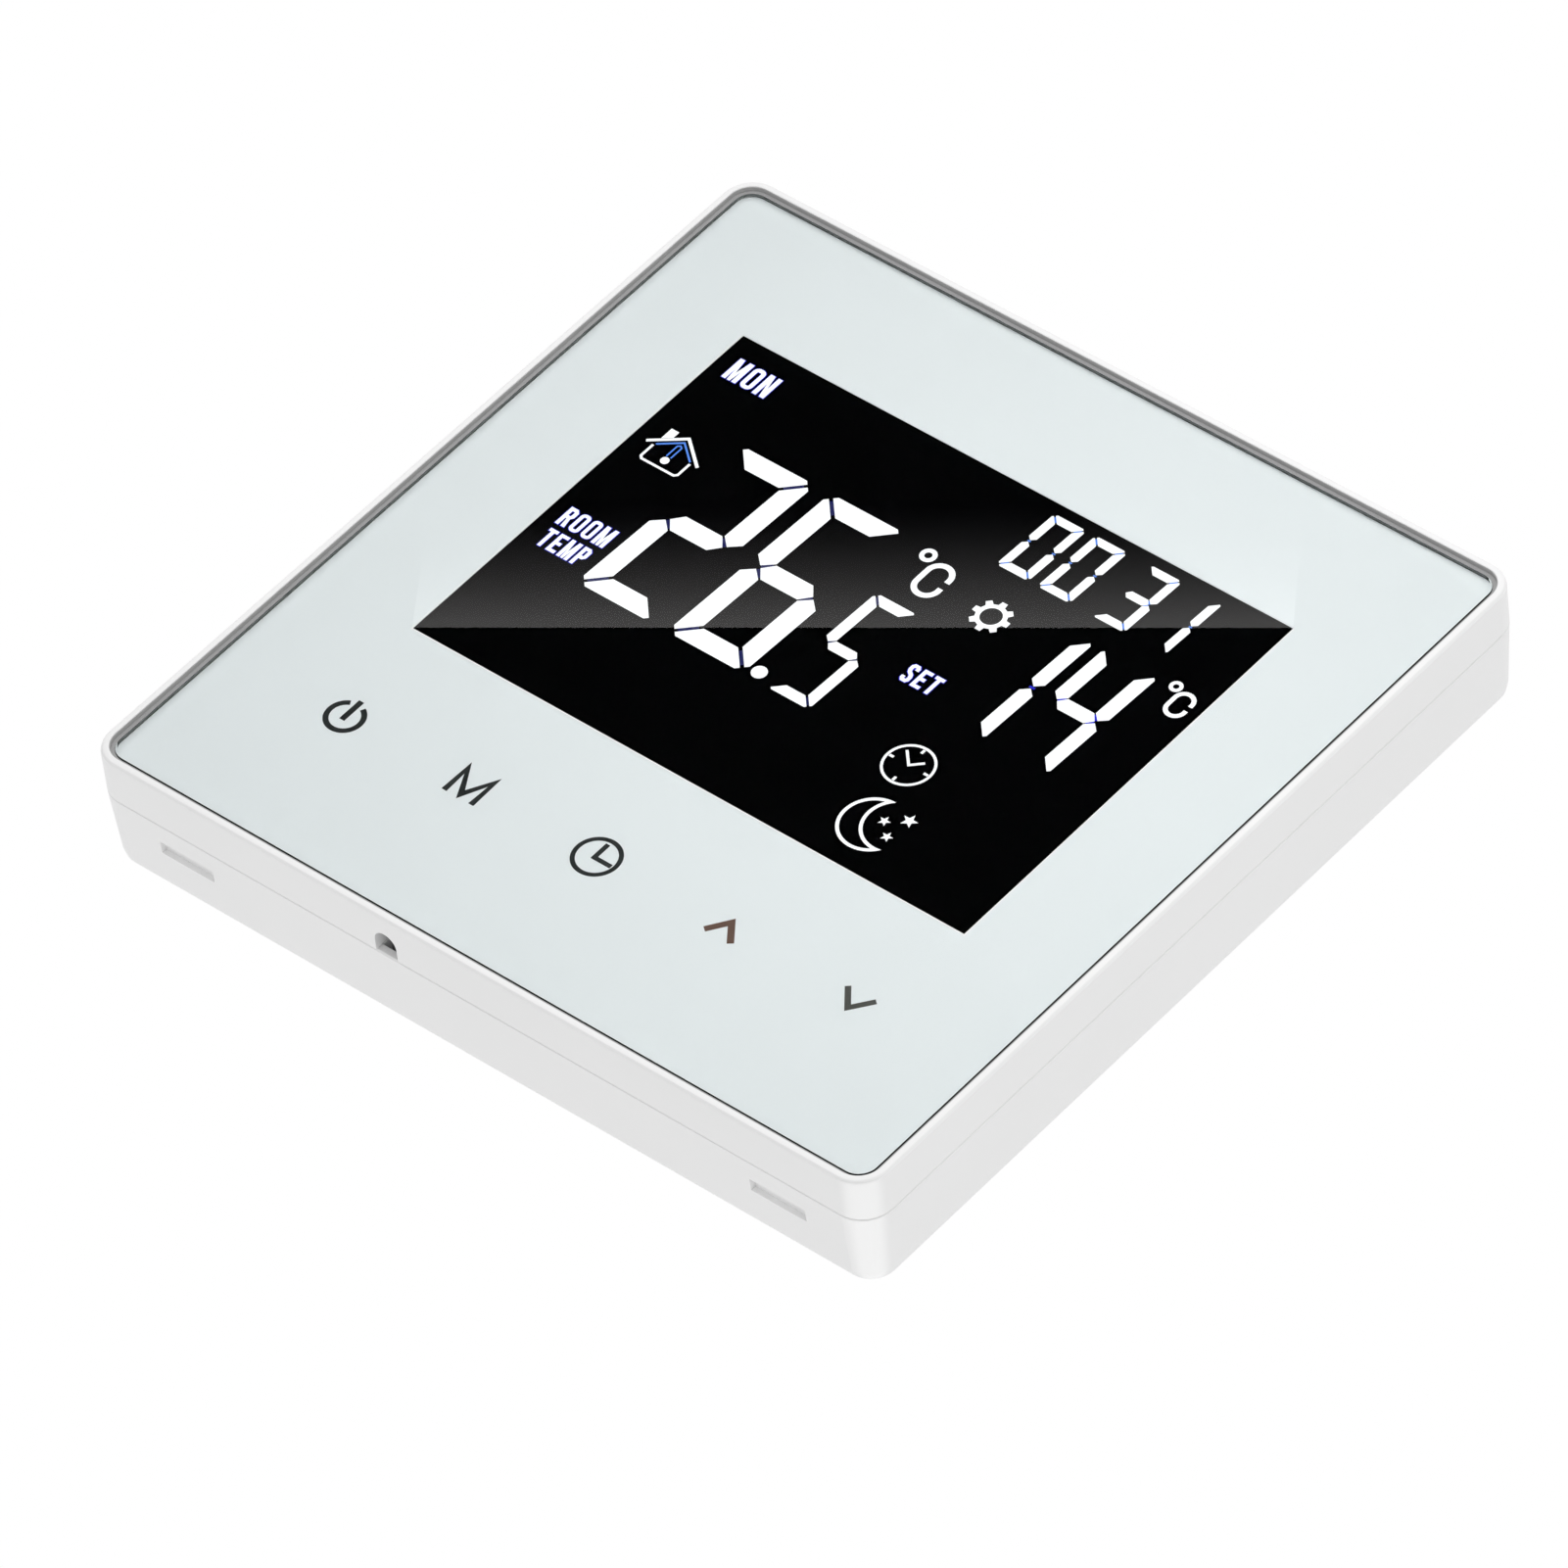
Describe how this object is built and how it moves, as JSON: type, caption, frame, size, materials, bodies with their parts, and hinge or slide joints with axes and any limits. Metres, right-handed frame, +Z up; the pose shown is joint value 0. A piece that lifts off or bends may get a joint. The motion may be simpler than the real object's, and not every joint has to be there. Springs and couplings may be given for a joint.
{
  "type": "wall thermostat",
  "caption": "Square wall thermostat with a flush touch glass front and lit display, on a clip-in wall case with a rear box, relay and screw terminals.",
  "frame": {"origin": "centre of the wall screw pattern on the wall plane, which is the back of the wall case's flange", "axes": "+X to the right seen from the room, +Y into the wall, +Z up; the glass faces -Y and the rear box reaches into the wall along +Y"},
  "size_m": [0.086, 0.0373, 0.086],
  "materials": {
    "case_white": "glossy moulded ABS",
    "front_glass": "polished tempered glass",
    "print_mint": "screen print on the back of the glass",
    "tape_grey": "double-sided foam tape",
    "lcd_black": "black liquid crystal panel with lit white segments",
    "frame_white": "moulded frame",
    "guide_acrylic": "clear acrylic",
    "film_white": "white reflector film",
    "led_yellow": "small lamp",
    "rubber_grey": "striped contact rubber",
    "board_green": "solder mask over glass fibre",
    "spring_steel": "plated spring wire",
    "chip_black": "moulded epoxy",
    "can_steel": "plain steel can",
    "contact_brass": "bright brass",
    "screw_steel": "zinc plated",
    "header_black": "moulded connector",
    "cover_ivory": "moulded cover",
    "relay_plastic": "dark blue relay case",
    "bobbin_ivory": "moulded bobbin",
    "coil_copper": "enamelled copper wire",
    "iron_plated": "plated soft iron",
    "ferrite": "sintered ferrite",
    "tape_yellow": "yellow winding tape",
    "can_sleeve": "shrink sleeve over a can",
    "capacitor_yellow": "moulded box",
    "varistor_blue": "dipped epoxy",
    "fuse_brown": "sleeved fuse",
    "terminal_black": "moulded terminal block"
  },
  "bodies": {
    "wall_unit": {"wall_case": "case_white", "inner_cover": "cover_ivory", "cover_screws": "screw_steel", "power_board": "board_green", "socket_header": "header_black", "rectifier": "chip_black", "power_chip": "chip_black", "relay_base": "relay_plastic", "relay_cover": "relay_plastic", "relay_bobbin": "bobbin_ivory", "relay_coil": "coil_copper", "relay_yoke": "iron_plated", "relay_contact": "contact_brass", "transformer_core": "ferrite", "transformer_winding": "tape_yellow", "electrolytic_capacitors": "can_sleeve", "film_capacitor": "capacitor_yellow", "varistor": "varistor_blue", "fuse": "fuse_brown", "terminal_block": "terminal_black", "terminal_bars": "contact_brass"},
    "front_unit": {"front_bezel": "case_white", "glass_panel": "front_glass", "glass_print": "print_mint", "glass_tape": "tape_grey", "display_tape": "tape_grey", "lcd_panel": "lcd_black", "lcd_frame": "frame_white", "light_guide": "guide_acrylic", "reflector_film": "film_white", "backlight_leds": "led_yellow", "contact_strip": "rubber_grey", "control_board": "board_green", "touch_springs": "spring_steel", "microcontroller": "chip_black", "touch_chip": "chip_black", "clock_crystal": "can_steel", "room_sensor": "chip_black", "backup_cell": "can_steel", "cell_clip": "contact_brass", "board_screws": "screw_steel", "pin_header": "header_black"},
    "armature": {"relay_armature": "iron_plated", "contact_spring": "contact_brass"},
    "screw_1": {"terminal_screw_1": "screw_steel"},
    "screw_2": {"terminal_screw_2": "screw_steel"},
    "screw_3": {"terminal_screw_3": "screw_steel"},
    "screw_4": {"terminal_screw_4": "screw_steel"},
    "screw_5": {"terminal_screw_5": "screw_steel"},
    "screw_6": {"terminal_screw_6": "screw_steel"},
    "clamp_1": {"terminal_clamp_1": "contact_brass"},
    "clamp_2": {"terminal_clamp_2": "contact_brass"},
    "clamp_3": {"terminal_clamp_3": "contact_brass"},
    "clamp_4": {"terminal_clamp_4": "contact_brass"},
    "clamp_5": {"terminal_clamp_5": "contact_brass"},
    "clamp_6": {"terminal_clamp_6": "contact_brass"}
  },
  "joints": [
    {"name": "front_release", "type": "slide", "parent": "wall_unit", "child": "front_unit", "axis": [0, -1, 0], "range_m": [0, 0.04]},
    {"name": "armature_rock", "type": "hinge", "parent": "wall_unit", "child": "armature", "pos_m": [0.0056, 0.0152, 0.01525], "axis": [0, 0, 1], "range_deg": [-4.5, 0], "stiffness_Nm_per_rad": 0.02, "springref_deg": 5.73},
    {"name": "screw_turn_1", "type": "hinge", "parent": "wall_unit", "child": "screw_1", "pos_m": [-0.016, 0.0154, -0.0144], "axis": [0, -1, 0], "range_deg": [0, 2016.5]},
    {"name": "screw_turn_2", "type": "hinge", "parent": "wall_unit", "child": "screw_2", "pos_m": [-0.0096, 0.0154, -0.0144], "axis": [0, -1, 0], "range_deg": [0, 2016.5]},
    {"name": "screw_turn_3", "type": "hinge", "parent": "wall_unit", "child": "screw_3", "pos_m": [-0.0032, 0.0154, -0.0144], "axis": [0, -1, 0], "range_deg": [0, 2016.5]},
    {"name": "screw_turn_4", "type": "hinge", "parent": "wall_unit", "child": "screw_4", "pos_m": [0.0032, 0.0154, -0.0144], "axis": [0, -1, 0], "range_deg": [0, 2016.5]},
    {"name": "screw_turn_5", "type": "hinge", "parent": "wall_unit", "child": "screw_5", "pos_m": [0.0096, 0.0154, -0.0144], "axis": [0, -1, 0], "range_deg": [0, 2016.5]},
    {"name": "screw_turn_6", "type": "hinge", "parent": "wall_unit", "child": "screw_6", "pos_m": [0.016, 0.0154, -0.0144], "axis": [0, -1, 0], "range_deg": [0, 2016.5]},
    {"name": "clamp_rise_1", "type": "slide", "parent": "wall_unit", "child": "clamp_1", "axis": [0, 1, 0], "range_m": [0, 0.0028]},
    {"name": "clamp_rise_2", "type": "slide", "parent": "wall_unit", "child": "clamp_2", "axis": [0, 1, 0], "range_m": [0, 0.0028]},
    {"name": "clamp_rise_3", "type": "slide", "parent": "wall_unit", "child": "clamp_3", "axis": [0, 1, 0], "range_m": [0, 0.0028]},
    {"name": "clamp_rise_4", "type": "slide", "parent": "wall_unit", "child": "clamp_4", "axis": [0, 1, 0], "range_m": [0, 0.0028]},
    {"name": "clamp_rise_5", "type": "slide", "parent": "wall_unit", "child": "clamp_5", "axis": [0, 1, 0], "range_m": [0, 0.0028]},
    {"name": "clamp_rise_6", "type": "slide", "parent": "wall_unit", "child": "clamp_6", "axis": [0, 1, 0], "range_m": [0, 0.0028]}
  ],
  "couplings": [
    {"joint": "screw_turn_1", "follows": "clamp_rise_1", "rad_per_m": 12566},
    {"joint": "screw_turn_2", "follows": "clamp_rise_2", "rad_per_m": 12566},
    {"joint": "screw_turn_3", "follows": "clamp_rise_3", "rad_per_m": 12566},
    {"joint": "screw_turn_4", "follows": "clamp_rise_4", "rad_per_m": 12566},
    {"joint": "screw_turn_5", "follows": "clamp_rise_5", "rad_per_m": 12566},
    {"joint": "screw_turn_6", "follows": "clamp_rise_6", "rad_per_m": 12566}
  ]
}
